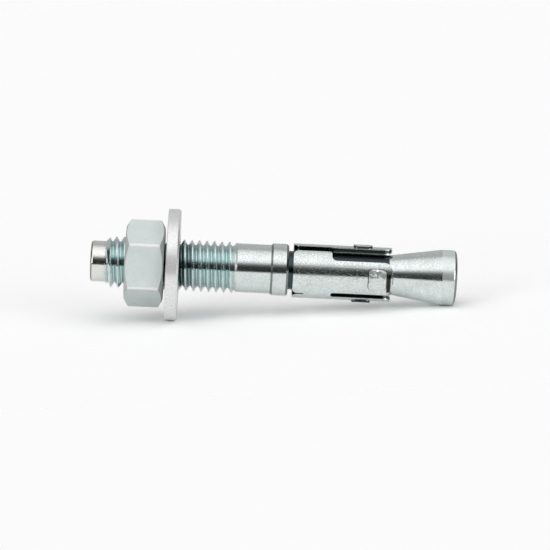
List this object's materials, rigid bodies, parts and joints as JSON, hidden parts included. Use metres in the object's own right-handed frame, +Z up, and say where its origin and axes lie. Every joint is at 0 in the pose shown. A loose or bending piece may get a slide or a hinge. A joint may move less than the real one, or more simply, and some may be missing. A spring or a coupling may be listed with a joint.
{
  "type": "wedge anchor",
  "caption": "Expansion anchor bolt for masonry: a threaded steel stud with a cone end, a split expansion clip on its neck, a flat washer and a hex nut, lying on its side.",
  "frame": {"origin": "on the floor under the middle of the anchor's overall box, as it lies on the washer's rim and the cone's edge", "axes": "+X along the anchor as it lies, from the threaded end to the cone; +Z up; the bolt's own axis dips 5.79 degrees below +X"},
  "size_m": [0.0856, 0.026, 0.026],
  "materials": {
    "anchor_bolt": "bright zinc plating, faintly blue",
    "expansion_clip": "bright zinc plating, faintly blue",
    "flat_washer": "bright zinc plating, faintly blue",
    "hex_nut": "bright zinc plating, faintly blue"
  },
  "bodies": {
    "bolt": {"anchor_bolt": "anchor_bolt"},
    "washer": {"flat_washer": "flat_washer"},
    "nut": {"hex_nut": "hex_nut"},
    "clip": {"expansion_clip": "expansion_clip"}
  },
  "joints": [
    {"name": "washer_slide", "type": "slide", "parent": "bolt", "child": "washer", "axis": [0.9949, 0, -0.101], "range_m": [-0.004, 0.0155]},
    {"name": "nut_turn", "type": "hinge", "parent": "washer", "child": "nut", "pos_m": [-0.02993, 0, 0.01365], "axis": [0.9949, 0, -0.101], "range_deg": [-830, 3200]},
    {"name": "clip_turn", "type": "hinge", "parent": "bolt", "child": "clip", "pos_m": [0.01579, 0, 0.00901], "axis": [0.9949, 0, -0.101], "continuous": true}
  ],
  "couplings": [
    {"joint": "nut_turn", "follows": "washer_slide", "rad_per_m": 3590.4}
  ]
}
